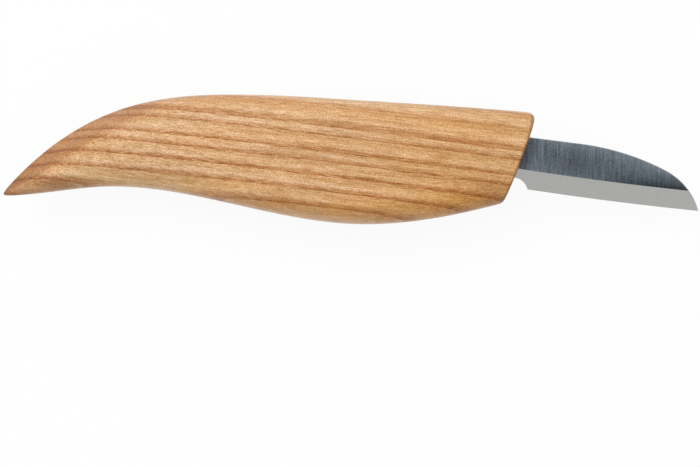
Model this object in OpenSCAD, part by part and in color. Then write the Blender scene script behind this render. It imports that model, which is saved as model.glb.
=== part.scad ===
// Bench knife for carving wood: a steel blade whose hidden tang is glued into a mortise in a
// one-piece wooden handle, which is shaped like a long beak to fill the palm.
//
// The knife lies on its side. X runs from the tail of the handle to the tip of the blade, Y from
// the cutting edge to the spine, and Z through the thickness, with the floor at zero. The origin
// is on the floor, under the middle of the knife's length and height. All sizes are in millimetres.

/* [Handle] */
// Length from the tail to the upper front corner
handle_len = 126.8; // [108:0.1:152]
// Thickness across the flats on the two sides
handle_thk = 21; // [17.5:0.5:26]
// How far the rounded sides would stand past the flats, which sets how wide the flats are
flat_depth = 0.35; // [0.2:0.05:0.8]
// Distance from the tail to the thickest place
thick_x = 80; // [65:1:95]
// Thickness at the front end
front_thk = 15; // [12:0.5:18]
// Thickness at the tail
tail_thk = 2.4; // [1.6:0.2:4]
// How fast each side widens from the tail, as a slope
tail_flare = 0.34; // [0.26:0.02:0.42]
// How fast each side narrows at the front, as a slope
front_narrowing = 0.09; // [0:0.01:0.15]
// Squareness of the section: 2 is an oval, and more fills out its corners
section_power = 2.6; // [2:0.1:3]
// Radius of the rounded tail
tail_round = 1.2; // [0.6:0.1:2]
// Radius of the edge round the sides of the front end
front_round = 0.5; // [0.3:0.1:0.8]
// Length over which the upper corner of the front end is rounded
front_top_round = 2.3; // [1:0.1:3]
// Length over which the lower corner of the front end is rounded
front_low_round = 0.8; // [0.5:0.1:2]
// Height of the dome on the front end
front_crown = 0.45; // [0.2:0.05:0.8]

/* [Handle outline] */
// Height of the blunt tail
tail_h = 0.8; // [0.5:0.1:1.4]
// Slope of the back at the tail
tail_rise = 1.15; // [0.9:0.05:1.3]
// Distance from the tail to the crest of the back
crest_x = 54; // [45:1:66]
// Height of the crest above the underside of the tail
crest_h = 24; // [20:0.5:29]
// Distance from the tail to the place where the back runs straight
straight_x = 76; // [68:1:90]
// Height of the back at that place
straight_h = 23.2; // [19.5:0.1:28]
// Slope of the back where it runs straight
straight_fall = 0.065; // [0.03:0.005:0.1]
// Height of the upper front corner
front_top_h = 19.65; // [17:0.05:23]
// Slope of the back at the upper front corner
front_fall = 0.09; // [0.04:0.01:0.14]
// Distance from the tail to the top of the hollow under it
hollow_x = 26; // [20:1:32]
// Height of the hollow's top
hollow_h = 2.2; // [1.5:0.1:3]
// Distance from the tail to the lowest place of the belly
belly_x = 86; // [72:1:95]
// Depth of the belly below the underside of the tail
belly_drop = 6.8; // [5.5:0.1:8.5]
// Depth of the lower front corner below the underside of the tail
front_low_drop = 1.75; // [0:0.05:3]
// Slope of the belly at the lower front corner
belly_rise = 0.27; // [0.15:0.01:0.35]
// Lean of the front end from square, with its top forward, in degrees
front_rake = 20.75; // [15:0.25:25]

/* [Facets of the tail] */
// Length of the two facets on the back of the tail
facet_len = 50; // [40:1:60]
// Thickness of the ridge between them, at the tail
ridge_thk = 0.5; // [0.3:0.1:1]
// How fast each facet widens below the ridge at the tail, as a slope
facet_tail_slope = 0.7; // [0.5:0.05:1]
// How fast each facet widens below the back in its middle, as a slope
facet_mid_slope = 1.55; // [1.2:0.05:2]

/* [Blade] */
// Length of the cutting edge, from the heel to the tip
blade_len = 40.9; // [34:0.1:60]
// Height from the cutting edge to the spine
blade_h = 12.3; // [10:0.1:15]
// Thickness of the steel
blade_thk = 2; // [1.5:0.1:3]
// Angle of the cutting edge below the length of the handle, in degrees
blade_droop = 7.2; // [4:0.1:10]
// Distance down the front end from its upper corner to the spine
spine_drop = 6.05; // [4:0.05:7]
// Length of the stretch over which the spine curves down to the tip
sweep_len = 29.9; // [25:0.1:33]
// Radius of the spine's long curve
sweep_r = 60; // [50:1:75]
// Radius of the tighter curve at the tip
tip_r = 16; // [13:0.5:20]
// How far the cutting edge bulges past a straight line from the heel to the tip
edge_bulge = 0.27; // [0.15:0.01:0.6]
// Height of the ground bevel above the cutting edge
bevel_h = 4.5; // [3.5:0.1:6]
// Thickness left at the cutting edge
edge_land = 0.05; // [0.02:0.01:0.1]
// Radius of the round notch between the heel and the handle
choil_r = 3.6; // [3:0.1:4.5]
// Depth of that notch
choil_depth = 2.4; // [1.8:0.1:3]

/* [Tang and mortise] */
// Length of the tang behind the notch
tang_len = 45; // [35:1:56]
// Height of the tang at its rounded end
tang_end_h = 6; // [4:0.5:8]
// Thickness of the tang at its end
tang_end_thk = 1.6; // [1.2:0.1:2]
// Length of the bevel that runs on into the mortise
bevel_runout = 3; // [1:0.5:6]
// Clearance that the glue fills round the tang
glue_gap = 0.25; // [0.1:0.05:0.5]
// Room that the glue fills past the end of the tang
glue_end_gap = 2; // [1:0.5:4]

/* [Hidden] */

// Fineness of the handle's skin: rings along it and points round it
main_rings = 56;
nose_rings = 4;
edge_rings = 6;
dome_rings = 3;
ring_points = 48;
// How much closer together the rings are towards the tail, where the outline turns most
ring_crowding = 1.2;
// Sharpness of the line where a facet of the tail meets the side
facet_blend = 8;
// Fineness of the round cuts and ends, and of the large circle of the cutting edge
$fn = 96;
edge_fn = 2400;
// Reach of a cutting shape past what it cuts
past = 2;
// Reach of a half space, longer than any knife in these ranges
far = 300;
// Distance that the blade's flat cheeks stop short of the wood
cheek_clearance = 0.1;
// Height by which a curve stands past the line that it carries on, so that they cross cleanly
crossing = 0.02;

front_low_x = handle_len - (front_top_h + front_low_drop) * tan(front_rake);
front_top = [handle_len, front_top_h];
front_down = [-sin(front_rake), -cos(front_rake)];
front_out = [cos(front_rake), -sin(front_rake)];

// Knots of the handle's lines, each with its place along the handle, its value and its slope there
back_line = [
    [0, tail_h, tail_rise],
    [crest_x, crest_h, 0],
    [straight_x, straight_h, -straight_fall],
    [handle_len, front_top_h, -front_fall]
];
belly_line = [
    [0, 0, 0],
    [hollow_x, hollow_h, 0],
    [belly_x, -belly_drop, 0],
    [front_low_x, -front_low_drop, belly_rise]
];
half_thk_line = [
    [0, tail_thk / 2, tail_flare],
    [thick_x, handle_thk / 2 + flat_depth, 0],
    [handle_len, front_thk / 2, -front_narrowing]
];
// Half thickness that the facets leave at the back, and its slope below the back
facet_back_line = [
    [0, ridge_thk / 2, 0],
    [0.36 * facet_len, ridge_thk / 2 + 0.05, 0.02],
    [0.6 * facet_len, 0.075 * handle_thk, 0.25],
    [facet_len, 0.475 * handle_thk, 0.5]
];
facet_slope_line = [
    [0, facet_tail_slope, 0],
    [0.2 * facet_len, facet_tail_slope + 0.1, 0.05],
    [0.52 * facet_len, facet_mid_slope, 0.03],
    [facet_len, facet_mid_slope + 0.35, 0]
];

// Cubic curve between two knots, at x
function cubic(a, b, x) =
    let (run = b.x - a.x, t = (x - a.x) / run)
    (2 * t ^ 3 - 3 * t ^ 2 + 1) * a.y + (t ^ 3 - 2 * t ^ 2 + t) * run * a.z
    + (3 * t ^ 2 - 2 * t ^ 3) * b.y + (t ^ 3 - t ^ 2) * run * b.z;

// Smooth line through all its knots, at x
function line_at(knots, x, i = 0) =
    i == len(knots) - 2 || x <= knots[i + 1].x
        ? cubic(knots[i], knots[i + 1], x)
        : line_at(knots, x, i + 1);

// Ends of the handle's section at t, which goes from 0 at the tail to 1 at the front end
function back_point(t) = [t * handle_len, line_at(back_line, t * handle_len)];
function belly_point(t) = [t * front_low_x, line_at(belly_line, t * front_low_x)];

// Cosine or sine drawn out towards a square
function squared(c) = sign(c) * abs(c) ^ (2 / section_power);

// Half thickness of a point on the back, held in by the facet there
function held_in(side, limit) = side / (1 + (abs(side) / limit) ^ facet_blend) ^ (1 / facet_blend);

// Amount that a rounded edge or corner draws in a ring, at a distance from the front end
function round_inset(away, r) = away >= r ? 0 : r - sqrt(r ^ 2 - (r - away) ^ 2);

// Ring of points round the handle at t: scaled, then drawn in at its top, its bottom and its sides,
// then moved out through the front end
function ring(t, grow = 1, top_inset = 0, low_inset = 0, side_inset = 0, advance = 0) =
    let (
        x = t * handle_len,
        top = back_point(t),
        low = belly_point(t),
        half = (top - low) / 2,
        upward = half / norm(half),
        middle = (top + low) / 2 + (low_inset - top_inset) / 2 * upward + advance * front_out,
        reach = norm(half) * grow - (top_inset + low_inset) / 2,
        half_thk = line_at(half_thk_line, x) * grow - side_inset,
        facet_back = line_at(facet_back_line, x) * grow,
        facet_slope = line_at(facet_slope_line, x)
    )
    [
        for (k = [0 : ring_points - 1])
            let (
                turn = 360 * k / ring_points,
                up = squared(cos(turn)),
                side = half_thk * squared(sin(turn)),
                p = middle + upward * reach * up,
                on_facet = x < facet_len && up > 0
            )
            [
                p.x,
                p.y,
                on_facet ? held_in(side, facet_back + facet_slope * reach * (1 - up)) : side
            ]
    ];

t_nose = tail_round / handle_len;
t_edge = 1 - front_top_round / cos(front_rake) / handle_len;
skin_rings = concat(
    [
        for (k = [1 : nose_rings])
            let (turn = 90 * k / nose_rings)
            ring(t_nose * (1 - cos(turn)), sin(turn))
    ],
    [
        for (k = [1 : main_rings])
            ring(t_nose + (t_edge - t_nose) * (k / main_rings) ^ ring_crowding)
    ],
    [
        for (k = [1 : edge_rings])
            let (turn = 90 * k / edge_rings, away = front_top_round * (1 - sin(turn)))
            ring(
                t_edge + (1 - t_edge) * sin(turn),
                1,
                round_inset(away, front_top_round),
                round_inset(away, front_low_round),
                round_inset(away, front_round)
            )
    ],
    [
        for (k = [1 : dome_rings])
            let (share = 1 - k / (dome_rings + 1))
            ring(
                1,
                share,
                front_top_round * share,
                front_low_round * share,
                front_round * share,
                front_crown * (1 - share ^ 2)
            )
    ]
);
tail_point = (back_point(0) + belly_point(0)) / 2;
dome_point = (back_point(1) + belly_point(1)) / 2 + front_crown * front_out;

// Turns a point of the blade's own axes to the handle's: along the edge, then up to the spine
function droop(p) = [
    p.x * cos(blade_droop) + p.y * sin(blade_droop),
    p.y * cos(blade_droop) - p.x * sin(blade_droop)
];

// The notch meets the front end at its deepest place, so the heel stands clear by the notch's run
choil_run = sqrt(2 * choil_r * choil_depth - choil_depth ^ 2);
seat_lean = front_rake - blade_droop;
spine_entry = -choil_run + (blade_h - choil_depth) * tan(seat_lean);
heel = front_top + spine_drop * front_down + front_crown * front_out - droop([spine_entry, blade_h]);
tip = heel + droop([blade_len, 0]);

// Centres of the spine's two curves: the long one starts just above the straight spine, and the
// tighter one starts just above the long one and ends at the tip
sweep_start = blade_len - sweep_len;
sweep_centre = [sweep_start, blade_h + crossing - sweep_r];
centre_gap = sweep_r + crossing - tip_r;
tip_from_sweep = [blade_len, 0] - sweep_centre;
tip_away = norm(tip_from_sweep);
tip_along = tip_from_sweep / tip_away;
tip_share = (centre_gap ^ 2 - tip_r ^ 2 + tip_away ^ 2) / (2 * tip_away);
tip_side = sqrt(centre_gap ^ 2 - tip_share ^ 2);
tip_centre = sweep_centre + tip_share * tip_along + tip_side * [-tip_along.y, tip_along.x];
tip_turn = atan2(tip_centre.x - sweep_centre.x, tip_centre.y - sweep_centre.y);

// The curved cutting edge: its radius, its centre, and its first and last direction from there,
// from inside the mortise to past the tip
edge_r = (blade_len ^ 2 / 4 + edge_bulge ^ 2) / (2 * edge_bulge);
edge_centre = [blade_len / 2, edge_r - edge_bulge];
edge_first = -90 - asin((choil_run + bevel_runout + blade_len / 2) / edge_r);
edge_last = -90 + asin((blade_len / 2 + past) / edge_r);

tang_mid = (blade_h + choil_depth) / 2;
tang_end = -choil_run - tang_len;

// Middle of the knife's box, which the origin lies under
back_heights = [for (r = skin_rings) back_point(min(1, r[0].x / handle_len)).y];
belly_heights = [for (k = [0 : main_rings]) belly_point(k / main_rings).y];
box_x = [0, max(tip.x, handle_len)];
box_y = [min(min(belly_heights), tip.y), max(back_heights)];
origin_shift = [-(box_x[0] + box_x[1]) / 2, -(box_y[0] + box_y[1]) / 2, handle_thk / 2];

module at_origin() {
    translate(origin_shift) children();
}

module at_blade() {
    translate([heel.x, heel.y, 0]) rotate(-blade_droop) children();
}

// The handle's rounded body, as one closed skin over its rings
module handle_skin() {
    last = len(skin_rings) - 1;
    tail_index = (last + 1) * ring_points;
    points = concat(
        [for (r = skin_rings) each r],
        [[tail_point.x, tail_point.y, 0], [dome_point.x, dome_point.y, 0]]
    );
    sides = [
        for (i = [0 : last - 1], k = [0 : ring_points - 1])
            let (
                next = (k + 1) % ring_points,
                a = i * ring_points + k,
                b = i * ring_points + next
            )
            each [[a, a + ring_points, b], [b, a + ring_points, b + ring_points]]
    ];
    tail_cap = [for (k = [0 : ring_points - 1]) [tail_index, k, (k + 1) % ring_points]];
    dome_cap = [
        for (k = [0 : ring_points - 1])
            [tail_index + 1, last * ring_points + (k + 1) % ring_points, last * ring_points + k]
    ];
    polyhedron(points, concat(sides, tail_cap, dome_cap));
}

// Outline of the tang, or of the mortise round it, from a place in front of the wood to its end
module tang_outline(front, gap, end_gap) {
    end_r = tang_end_h / 2 + gap;
    end_x = tang_end - end_gap + tang_end_h / 2;
    polygon([
        [front, choil_depth - crossing - gap],
        [front, blade_h + gap],
        [-choil_run, blade_h + gap],
        [end_x, tang_mid + end_r - crossing],
        [end_x, tang_mid - end_r + crossing],
        [-choil_run, choil_depth - crossing - gap]
    ]);
    translate([end_x, tang_mid]) circle(end_r);
}

module mortise() {
    at_blade() linear_extrude(blade_thk + 2 * glue_gap, center = true)
        tang_outline(blade_len / 2, glue_gap, glue_end_gap);
}

// Handle: one piece of ash with a flat on each side and the mortise for the tang
module handle() {
    color("burlywood") at_origin() difference() {
        intersection() {
            handle_skin();
            cube([2 * far, 2 * far, handle_thk], center = true);
        }
        mortise();
    }
}

// Outline of the blade: a bar with the spine's curves and the notch at the heel cut away
module blade_outline() {
    difference() {
        union() {
            intersection() {
                translate([-choil_run, -past]) square([choil_run + blade_len + past, blade_h + past]);
                translate(edge_centre) circle(edge_r, $fn = edge_fn);
            }
            tang_outline(sweep_start, 0, 0);
        }
        difference() {
            translate([sweep_start, -past]) square([sweep_len + 2 * past, blade_h + 2 * past]);
            translate(sweep_centre) circle(sweep_r);
        }
        difference() {
            translate(sweep_centre) rotate(-tip_turn) square(2 * sweep_r);
            translate(tip_centre) circle(tip_r);
        }
        translate([-choil_run, choil_depth - choil_r]) circle(choil_r);
    }
}

// Wedge of steel that the grinding of one bevel takes away, along the curve of the edge
module bevel_cut() {
    slope = (blade_thk - edge_land) / 2 / bevel_h;
    translate([edge_centre.x, edge_centre.y, 0])
        rotate(edge_first)
            rotate_extrude(angle = edge_last - edge_first, $fn = edge_fn)
                polygon([
                    [edge_r - bevel_h, blade_thk / 2],
                    [edge_r + past, edge_land / 2 - past * slope],
                    [edge_r + past, blade_thk],
                    [edge_r - bevel_h, blade_thk]
                ]);
}

// Wedge that thins one side of the tang, from just outside the wood to the tang's end
module tang_thinning() {
    reach = tang_len + blade_h;
    slope = (blade_thk - tang_end_thk) / 2 / tang_len;
    translate([-choil_run, choil_depth, 0])
        rotate(-seat_lean)
            translate([cheek_clearance, far / 2, 0])
                rotate([90, 0, 0])
                    linear_extrude(far)
                        polygon([
                            [0, blade_thk / 2],
                            [-reach, blade_thk / 2 - reach * slope],
                            [-reach, blade_thk],
                            [0, blade_thk]
                        ]);
}

// Blade: one piece of steel with a flat bevel on each side, a notch at the heel and a tapered tang
module steel() {
    at_blade() difference() {
        linear_extrude(blade_thk, center = true) blade_outline();
        for (side = [0, 1]) mirror([0, 0, side]) {
            bevel_cut();
            tang_thinning();
        }
    }
}

module blade() {
    color("slategray") at_origin() steel();
}

// Glue: the hardened bed that fills the mortise round the tang, just below the wood at its mouth
module tang_glue() {
    color("darkgoldenrod") at_origin() difference() {
        intersection() {
            mortise();
            translate([front_top.x, front_top.y, 0])
                rotate(-front_rake)
                    translate([-far, -far / 2, -far / 2])
                        cube(far);
        }
        steel();
    }
}

handle();
blade();
tang_glue();
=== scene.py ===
# %% [markdown]
# # A bench knife for carving wood
#
# This lesson dresses a small carving knife that was first drawn as solids. The frame that we
# load holds three of them: a handle of ash, a blade of ground steel, and the hardened glue that
# holds the hidden tang in the handle. We shape the handle and the blade again the way they could
# be made by hand, give each surface its finish, and look straight down on the knife as it lies
# on its side on a white table. The frame is fixed, so every piece goes where its solid is.

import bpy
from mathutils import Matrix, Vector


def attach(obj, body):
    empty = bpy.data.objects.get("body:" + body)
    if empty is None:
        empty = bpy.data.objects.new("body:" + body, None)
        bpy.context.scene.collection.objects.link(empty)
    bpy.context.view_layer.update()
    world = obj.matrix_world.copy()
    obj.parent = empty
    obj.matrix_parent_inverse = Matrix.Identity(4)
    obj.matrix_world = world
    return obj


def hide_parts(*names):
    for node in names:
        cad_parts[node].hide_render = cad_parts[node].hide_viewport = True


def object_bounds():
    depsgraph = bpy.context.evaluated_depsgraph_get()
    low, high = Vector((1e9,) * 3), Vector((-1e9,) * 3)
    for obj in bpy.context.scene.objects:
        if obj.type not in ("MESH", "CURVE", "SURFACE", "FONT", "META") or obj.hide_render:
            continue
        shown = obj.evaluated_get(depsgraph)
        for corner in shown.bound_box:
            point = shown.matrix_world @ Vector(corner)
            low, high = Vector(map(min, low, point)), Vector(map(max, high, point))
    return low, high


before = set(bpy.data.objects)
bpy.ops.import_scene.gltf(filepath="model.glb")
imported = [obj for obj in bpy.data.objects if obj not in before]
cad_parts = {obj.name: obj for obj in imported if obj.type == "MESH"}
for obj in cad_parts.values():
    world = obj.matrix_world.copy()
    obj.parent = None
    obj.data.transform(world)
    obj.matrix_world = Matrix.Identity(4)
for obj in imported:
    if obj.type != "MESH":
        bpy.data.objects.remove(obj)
cad_low, cad_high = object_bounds()
print("solids:", sorted(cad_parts))
print("box of the solids, in metres:", tuple(cad_low), tuple(cad_high))

# %% [markdown]
# ## Working by hand in a script
#
# Each operator acts on what is selected, exactly as a click in the window would, so a small set
# of helpers does the selecting. We draw in millimetres with the tail of the handle at zero and
# the middle of its thickness at z = 0, because round numbers are easy to read, and shrink each
# finished piece to metres at its true place. Turning has no window to read the screen from and
# goes the other way, so one helper turns that back.

# %% Helpers for selecting and turning
import math

import bmesh
import bpy
from mathutils import Vector

MM = 0.001
CLOSE = 1e-4


def hands_free():
    """Go back to object mode with nothing selected."""
    if bpy.context.mode != "OBJECT":
        bpy.ops.object.mode_set(mode="OBJECT")
    bpy.ops.object.select_all(action="DESELECT")


def start_piece(name):
    """Name the primitive that was just added, put its place into its mesh and start editing it."""
    piece = bpy.context.object
    piece.name = name
    piece.data.name = name
    bpy.ops.object.transform_apply(location=True, rotation=True, scale=True)
    bpy.ops.object.mode_set(mode="EDIT")
    return piece


def pick(kind, test):
    """Select only the vertices, edges or faces that pass the test, and return how many do."""
    bpy.ops.mesh.select_mode(type=kind)
    bpy.ops.mesh.select_all(action="DESELECT")
    data = bpy.context.edit_object.data
    mesh = bmesh.from_edit_mesh(data)
    parts = {"VERT": mesh.verts, "EDGE": mesh.edges, "FACE": mesh.faces}[kind]
    chosen = [part for part in parts if test(part)]
    for part in chosen:
        part.select_set(True)
    mesh.select_flush_mode()
    bmesh.update_edit_mesh(data)
    return len(chosen)


def pick_all():
    """Select the whole mesh that is being edited."""
    bpy.ops.mesh.select_mode(type="VERT")
    bpy.ops.mesh.select_all(action="SELECT")


def turn(angle, centre):
    """Turn the selection about the z axis, anticlockwise as seen from above."""
    bpy.ops.transform.rotate(value=-angle, orient_axis="Z", center_override=centre)


hands_free()
print("hands free, mode", bpy.context.mode)

# %% [markdown]
# ## The lines of the handle
#
# The handle is carved from one stick of ash in the shape of a long beak. Three lines give it:
# the back, the belly and half the thickness, each as a few knots with a place along the handle,
# a value and a slope. A carver draws the same lines on the stick before cutting. We could trace
# hundreds of points instead, but a few knots joined by cubic curves stay smooth by themselves.
# The front end is cut at a slant, so the belly is shorter than the back.

# %% Back, belly and thickness
HANDLE_LENGTH = 126.8
HANDLE_THICKNESS = 21.0
CREST = 24.0
BELLY_LOW = -6.8
FRONT_TOP = 19.65
FRONT_LOW = -1.75
FRONT_RAKE = math.radians(20.75)
FRONT_OUT = Vector((math.cos(FRONT_RAKE), -math.sin(FRONT_RAKE), 0))
BELLY_LENGTH = HANDLE_LENGTH - (FRONT_TOP - FRONT_LOW) * math.tan(FRONT_RAKE)
DRAWING_TO_FRAME = (cad_low[0] / MM, -(CREST + BELLY_LOW) / 2, HANDLE_THICKNESS / 2)

BACK_LINE = [(0, 0.8, 1.15), (54, CREST, 0), (76, 23.2, -0.065), (HANDLE_LENGTH, FRONT_TOP, -0.09)]
BELLY_LINE = [(0, 0, 0), (26, 2.2, 0), (86, BELLY_LOW, 0), (BELLY_LENGTH, FRONT_LOW, 0.27)]
HALF_THICKNESS_LINE = [(0, 1.2, 0.34), (80, 10.85, 0), (HANDLE_LENGTH, 7.5, -0.09)]


def height_on(line, x):
    """Value at x of the smooth curve through the knots of a line."""
    for start, end in zip(line, line[1:]):
        if x <= end[0] or end is line[-1]:
            run = end[0] - start[0]
            t = (x - start[0]) / run
            return (
                (2 * t**3 - 3 * t**2 + 1) * start[1]
                + (t**3 - 2 * t**2 + t) * run * start[2]
                + (3 * t**2 - 2 * t**3) * end[1]
                + (t**3 - t**2) * run * end[2]
            )


def section(t, grow=1.0, top_inset=0.0, low_inset=0.0, side_inset=0.0, advance=0.0):
    """Place, lean and size of the slice at t, which goes from 0 at the tail to 1 in front."""
    top = Vector((t * HANDLE_LENGTH, height_on(BACK_LINE, t * HANDLE_LENGTH), 0))
    low = Vector((t * BELLY_LENGTH, height_on(BELLY_LINE, t * BELLY_LENGTH), 0))
    half = (top - low) / 2
    middle = (top + low) / 2 + half.normalized() * (low_inset - top_inset) / 2
    half_thickness = height_on(HALF_THICKNESS_LINE, t * HANDLE_LENGTH)
    return {
        "along": t * HANDLE_LENGTH,
        "grow": grow,
        "middle": middle + advance * FRONT_OUT,
        "lean": -math.atan2(half.x, half.y),
        "height": half.length * grow - (top_inset + low_inset) / 2,
        "thickness": half_thickness * grow - side_inset,
    }


print("section half way along:", section(0.5))

# %% [markdown]
# ## One squared ring
#
# A slice through the handle is neither an oval nor a box but something between, a superellipse.
# A circle becomes one when its points are pulled outwards, most at the diagonals. The shape is
# the same in all four quarters, so the points are picked four at a time and scaled together.

# %% Circle to squared oval
RING_POINTS = 64
SECTION_POWER = 2.6

hands_free()
bpy.ops.mesh.primitive_circle_add(
    vertices=RING_POINTS, radius=1, fill_type="NOTHING", rotation=(0, math.pi / 2, 0)
)
handle = start_piece("handle_ash")
ring_levels = []
for step in range(1, RING_POINTS // 4):
    angle = 2 * math.pi * step / RING_POINTS
    out, up = math.cos(angle), math.sin(angle)
    reach = (out**SECTION_POWER + up**SECTION_POWER) ** (-1 / SECTION_POWER)
    found = pick("VERT", lambda v: abs(abs(v.co.z) * up - abs(v.co.y) * out) < CLOSE)
    assert found == 4
    bpy.ops.transform.resize(value=(reach, reach, reach), center_override=(0, 0, 0))
    ring_levels.append((up * reach, out * reach))
print("squared a ring with", len(ring_levels), "levels of points above its middle")

# %% [markdown]
# ## Ring after ring from tail to front
#
# The ring is set at the tail and extruded along the handle. Each new ring is stood upright,
# scaled to its height and thickness, leaned to its slice and moved to the next place. The slices
# lean more and more, because the front end is cut off at a slant. The first few round the tail,
# and the last few round the edges of the front end and crown it a little. A loft between only a
# few rings would be quicker, but the beak turns so fast near the tail that it needs many.

# %% Slices of the handle
TAIL_ROUND = 1.2
FRONT_TOP_ROUND = 2.3
FRONT_LOW_ROUND = 0.8
FRONT_EDGE = 0.5
FRONT_CROWN = 0.45
MAIN_RINGS = 56
# Above 1, the rings stand closer together near the tail.
RING_CROWDING = 1.2
TAIL_RINGS = 4
FRONT_RINGS = 6
DOME_SHARES = (0.75, 0.5, 0.25)


def round_inset(away, size):
    """How far a rounded corner or edge draws a slice in, at a distance from the front end."""
    left = max(size - away, 0)
    return size - math.sqrt(size**2 - left**2)


tail_end = TAIL_ROUND / HANDLE_LENGTH
front_end = 1 - FRONT_TOP_ROUND / math.cos(FRONT_RAKE) / HANDLE_LENGTH
rounds = (FRONT_TOP_ROUND, FRONT_LOW_ROUND, FRONT_EDGE)
slices = []
for step in range(1, TAIL_RINGS + 1):
    bend = math.pi / 2 * step / TAIL_RINGS
    slices.append(section(tail_end * (1 - math.cos(bend)), grow=math.sin(bend)))
for step in range(1, MAIN_RINGS + 1):
    along = (step / MAIN_RINGS) ** RING_CROWDING
    slices.append(section(tail_end + (front_end - tail_end) * along))
for step in range(1, FRONT_RINGS + 1):
    bend = math.pi / 2 * step / FRONT_RINGS
    along = front_end + (1 - front_end) * math.sin(bend)
    away = FRONT_TOP_ROUND * (1 - math.sin(bend))
    slices.append(section(along, 1, *[round_inset(away, size) for size in rounds]))
for share in DOME_SHARES:
    insets = [size * share for size in rounds]
    slices.append(section(1, share, *insets, advance=FRONT_CROWN * (1 - share**2)))
print("slices:", len(slices))

# %% [markdown]
# ## Facets on the back of the tail
#
# Near the tail the carver has taken a long facet off each side of the back, so the beak ends in
# a soft ridge instead of a round. Each facet is a limit on how far a point may stand out from
# the middle: a little at the back, and more with every millimetre below it. The points of a new
# ring are narrowed to that limit two at a time. A Boolean would cut a hard edge, and on the real
# handle the edge is sanded soft, so the limit and the round shape are blended.

# %% Narrow a ring to the facets
FACET_BACK_LINE = [(0, 0.25, 0), (18, 0.3, 0.02), (30, 1.575, 0.25), (50, 9.975, 0.5)]
FACET_SLOPE_LINE = [(0, 0.7, 0), (10, 0.8, 0.05), (26, 1.55, 0.03), (50, 1.9, 0)]
FACET_END = 50
FACET_BLEND = 8


def on_ring(vertex, here):
    """True for a vertex of the open ring that lies in this slice."""
    forward = Vector((math.cos(here["lean"]), math.sin(here["lean"]), 0))
    is_open = vertex.is_boundary or vertex.is_wire
    return is_open and abs((vertex.co - here["middle"]).dot(forward)) < CLOSE


def carve_back(here, shares):
    """Narrow the upper points of the newest ring. shares holds how far each level is narrowed."""
    upward = Vector((-math.sin(here["lean"]), math.cos(here["lean"]), 0))
    back = height_on(FACET_BACK_LINE, here["along"]) * here["grow"]
    slope = height_on(FACET_SLOPE_LINE, here["along"])
    for number, (up, out) in enumerate(ring_levels):
        rounded = out * here["thickness"]
        limit = back + slope * here["height"] * (1 - up)
        carved = (rounded**-FACET_BLEND + limit**-FACET_BLEND) ** (-1 / FACET_BLEND)
        share = carved / rounded if here["along"] < FACET_END else 1
        level = up * here["height"]
        found = pick(
            "VERT",
            lambda v: on_ring(v, here)
            and abs((v.co - here["middle"]).dot(upward) - level) < 2 * CLOSE * here["height"],
        )
        assert found == 2
        bpy.ops.transform.resize(
            value=(1, 1, share / shares[number]), center_override=here["middle"]
        )
        shares[number] = share
    pick("VERT", lambda v: on_ring(v, here))


print("facets end", FACET_END, "mm from the tail")

# %% Extrude through the slices
def shape_ring(old, new):
    """Bring the selected ring from the old slice to the new one."""
    scale = (1, new["height"] / old["height"], new["thickness"] / old["thickness"])
    turn(-old["lean"], old["middle"])
    bpy.ops.transform.resize(value=scale, center_override=old["middle"])
    turn(new["lean"], old["middle"])
    bpy.ops.transform.translate(value=new["middle"] - old["middle"])


pick_all()
previous = {"along": 0, "middle": Vector((0, 0, 0)), "lean": 0, "height": 1, "thickness": 1}
narrowed = [1.0] * len(ring_levels)
for number, this_slice in enumerate(slices):
    if number:
        bpy.ops.mesh.extrude_edges_move()
    shape_ring(previous, this_slice)
    if previous["along"] < FACET_END:
        carve_back(this_slice, narrowed)
    previous = this_slice
bpy.ops.mesh.edge_face_add()
bpy.ops.mesh.poke()
pick("EDGE", lambda e: e.is_boundary)
bpy.ops.mesh.edge_face_add()
bpy.ops.mesh.poke()
pick_all()
bpy.ops.mesh.normals_make_consistent(inside=False)
bpy.ops.object.mode_set(mode="OBJECT")
print("handle:", len(handle.data.polygons), "faces from", len(slices), "rings")

# %% [markdown]
# ## Smoothing and the two flats
#
# Sandpaper takes the last facets off the real handle. A Subdivision Surface does the same here.
# Each side also has a narrow flat that the knife lies on. Points that stand past the flat are
# pressed onto it by scaling their height to nothing.

# %% Sand the handle and press its flats
def apply_modifier(piece, kind, **settings):
    """Add a modifier to the active piece, set it and apply it."""
    modifier = piece.modifiers.new(kind.lower(), kind)
    for name, value in settings.items():
        setattr(modifier, name, value)
    bpy.ops.object.modifier_apply(modifier=modifier.name)


apply_modifier(handle, "SUBSURF", levels=1, render_levels=1)
bpy.ops.object.mode_set(mode="EDIT")
for side in (-1, 1):
    flat_z = side * HANDLE_THICKNESS / 2
    pressed = pick("VERT", lambda v: v.co.z * side > HANDLE_THICKNESS / 2)
    bpy.ops.transform.resize(value=(1, 1, 0), center_override=(0, 0, flat_z))
    print("flat at z", flat_z, "made of", pressed, "points")
hands_free()

# %% [markdown]
# ## The mortise for the tang
#
# The blade runs back into the handle as a tapered tang, and the handle has a slot for it that is
# a quarter of a millimetre larger all round. On the bench it would be drilled and filed. Here a
# block with the same outline is cut away with a Boolean. The block is drawn along the cutting
# edge with the heel at zero, then drooped to the blade's angle and moved to the heel.

# %% Measures of the blade and its tang
HEEL = (124.5360, 1.5036, 0)
BLADE_DROOP = math.radians(7.2)
BLADE_HEIGHT = 12.3
BLADE_THICKNESS = 2.0
NOTCH_RADIUS = 3.6
NOTCH_DEPTH = 2.4
NOTCH_RUN = math.sqrt(2 * NOTCH_RADIUS * NOTCH_DEPTH - NOTCH_DEPTH**2)
TANG_LENGTH = 45.0
TANG_END_HEIGHT = 6.0
TANG_MIDDLE = (BLADE_HEIGHT + NOTCH_DEPTH) / 2
GLUE_GAP = 0.25
GLUE_END_GAP = 2.0

print("the notch runs", round(NOTCH_RUN, 3), "mm back from the heel")

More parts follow.
